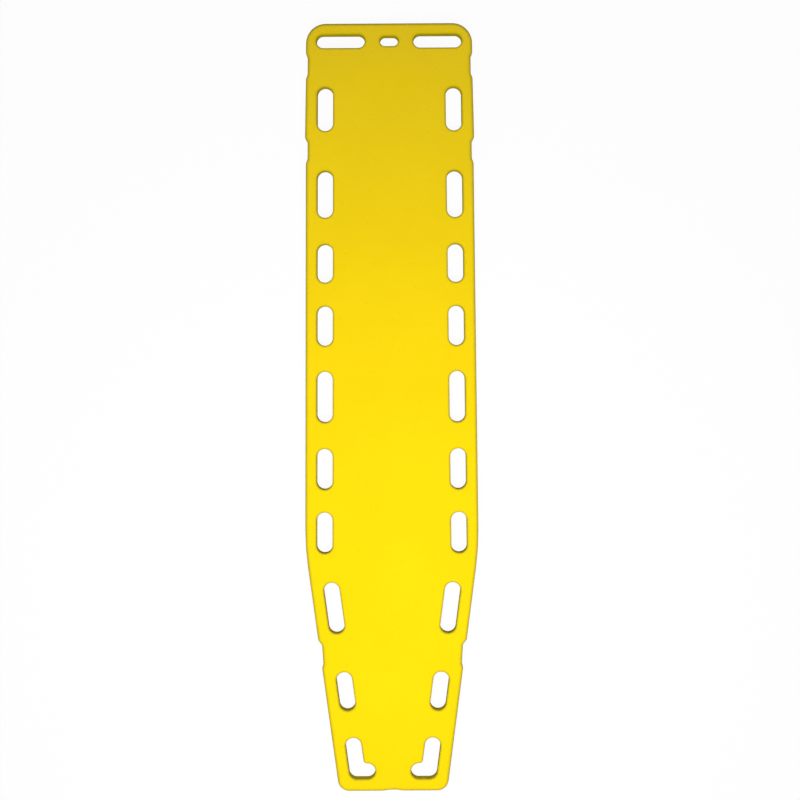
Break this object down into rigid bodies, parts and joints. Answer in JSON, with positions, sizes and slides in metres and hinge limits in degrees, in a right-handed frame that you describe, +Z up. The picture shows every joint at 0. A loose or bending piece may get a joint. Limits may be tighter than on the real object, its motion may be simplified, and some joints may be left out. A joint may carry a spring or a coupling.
{
  "type": "spine board",
  "caption": "Rigid moulded rescue board with strap slots and hand holds round its edge, tapered legs and runners underneath.",
  "frame": {"origin": "on the floor under the middle of the board's bounding box", "axes": "+Y along the board to its head end, +Z up out of the bed, +X to the right seen from above with the head away"},
  "size_m": [0.4126, 1.8288, 0.05],
  "materials": {
    "shell": "satin moulded polyethylene, fine texture",
    "foam": "rigid closed-cell foam, fine open cut cells",
    "tube": "drawn tube, dull",
    "cap": "moulded, matt",
    "plug": "moulded, smooth"
  },
  "bodies": {
    "root": {"top_skin": "shell", "bottom_skin": "shell", "foam_core": "foam", "inner_tube_right": "tube", "inner_tube_left": "tube", "outer_tube_right": "tube", "outer_tube_left": "tube", "inner_tube_right_head_cap": "cap", "inner_tube_right_foot_cap": "cap", "inner_tube_left_head_cap": "cap", "inner_tube_left_foot_cap": "cap", "outer_tube_right_head_cap": "cap", "outer_tube_right_foot_cap": "cap", "outer_tube_left_head_cap": "cap", "outer_tube_left_foot_cap": "cap", "breather_plug_head": "plug", "fill_plug": "plug", "breather_plug_foot": "plug"}
  },
  "joints": []
}
